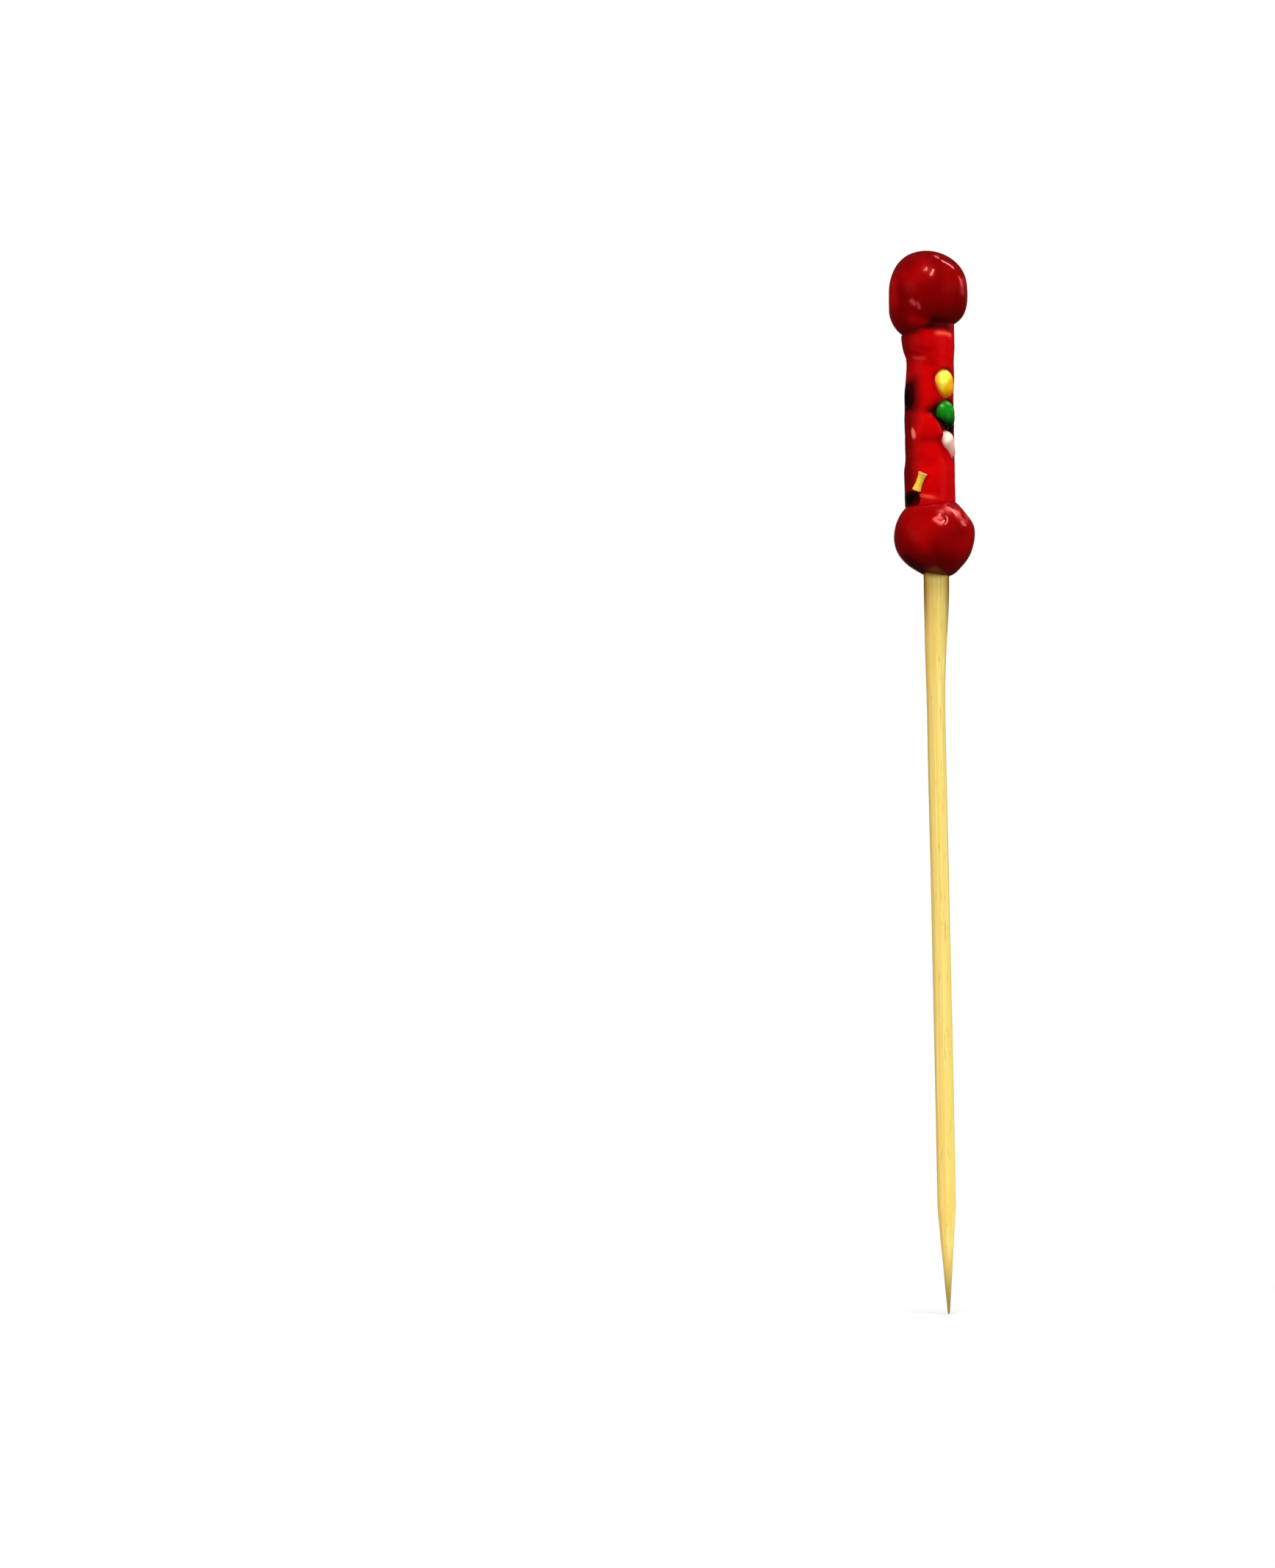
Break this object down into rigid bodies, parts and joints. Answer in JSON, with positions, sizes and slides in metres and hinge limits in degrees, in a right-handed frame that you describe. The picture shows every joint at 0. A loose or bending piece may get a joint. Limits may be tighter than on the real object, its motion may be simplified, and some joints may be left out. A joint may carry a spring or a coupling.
{
  "type": "ball end skewer",
  "caption": "Pointed bamboo party pick with a red lacquered ball at the end, a second ball lower down, and a lumpy red sleeve between them set with coloured drops.",
  "frame": {"origin": "the point of the pick, on its axis", "axes": "+Z along the pick from the point to the ball end, -Y towards the side that the picture shows"},
  "size_m": [0.0092, 0.0092, 0.1198],
  "materials": {
    "bamboo": "bare, satin",
    "red_lacquer": "high gloss lacquer",
    "red_glaze": "glossy glaze",
    "yellow_enamel": "glossy enamel",
    "green_enamel": "glossy enamel",
    "white_enamel": "glossy enamel",
    "black_enamel": "glossy enamel",
    "gold": "polished"
  },
  "bodies": {
    "root": {"bamboo_pick": "bamboo", "lower_ball": "red_lacquer", "upper_ball": "red_lacquer", "red_sleeve": "red_glaze", "yellow_drop_front": "yellow_enamel", "yellow_drop_back": "yellow_enamel", "green_drop_front": "green_enamel", "green_drop_back": "green_enamel", "white_drop_front": "white_enamel", "white_drop_back": "white_enamel", "black_patch_front": "black_enamel", "black_patch_back": "black_enamel", "black_streak_front": "black_enamel", "black_streak_back": "black_enamel", "gold_spool_front": "gold", "gold_spool_back": "gold"}
  },
  "joints": []
}
